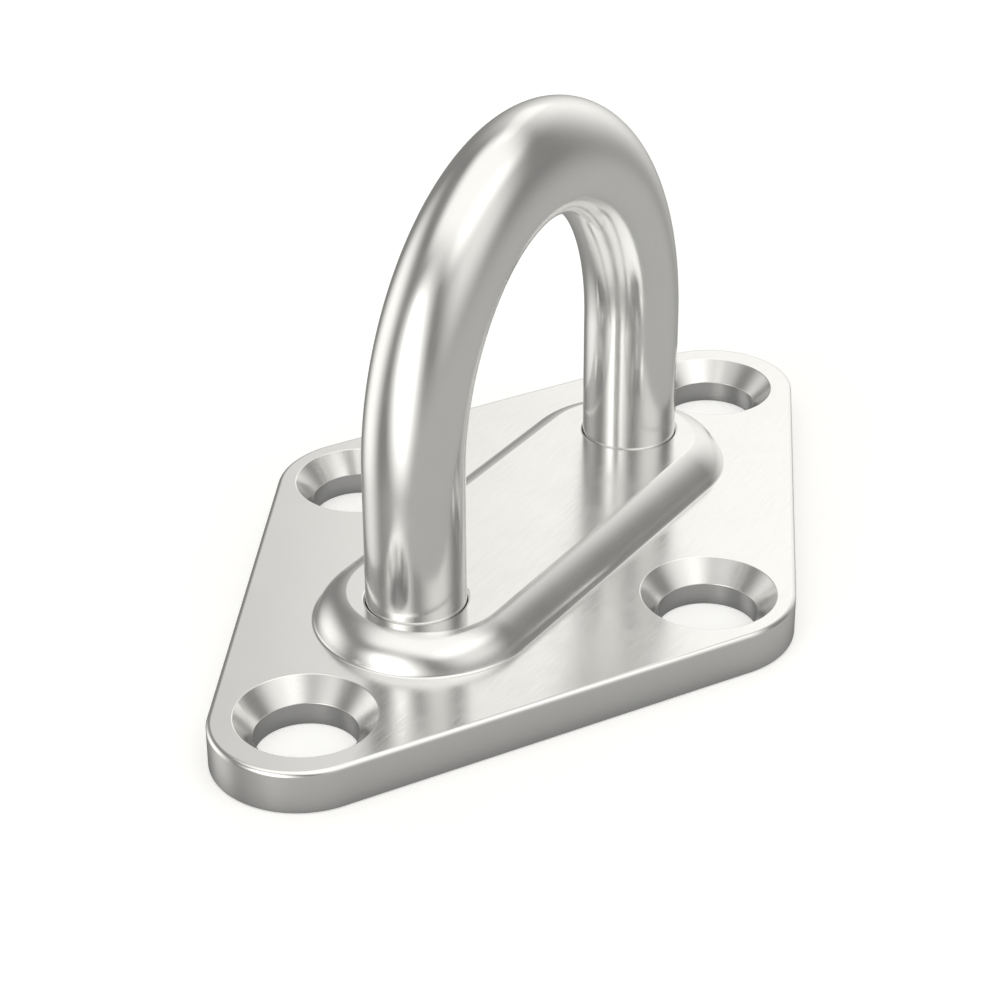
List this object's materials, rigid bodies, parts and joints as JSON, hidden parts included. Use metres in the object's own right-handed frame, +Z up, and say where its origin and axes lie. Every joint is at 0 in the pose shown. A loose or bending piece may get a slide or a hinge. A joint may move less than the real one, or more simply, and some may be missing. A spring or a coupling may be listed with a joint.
{
  "type": "hammock hook",
  "caption": "Diamond pad eye: a pressed stainless plate with countersunk screw holes and a raised boss that carries a welded round-bar bow, to hang a hammock from a wall, beam or ceiling.",
  "frame": {"origin": "the middle of the plate's flat underside", "axes": "+Z up out of the plate, through the bow; +X along the plate's long diagonal, which is also the bow's plane; +Y along the short diagonal"},
  "size_m": [0.078, 0.048, 0.0414],
  "materials": {
    "plate_steel": "satin-polished stainless sheet",
    "bar_steel": "satin-polished stainless bar",
    "weld_metal": "rippled weld metal, lightly brushed"
  },
  "bodies": {
    "root": {"base_plate": "plate_steel", "eye_bow": "bar_steel", "weld_bead_left": "weld_metal", "weld_bead_right": "weld_metal"}
  },
  "joints": []
}
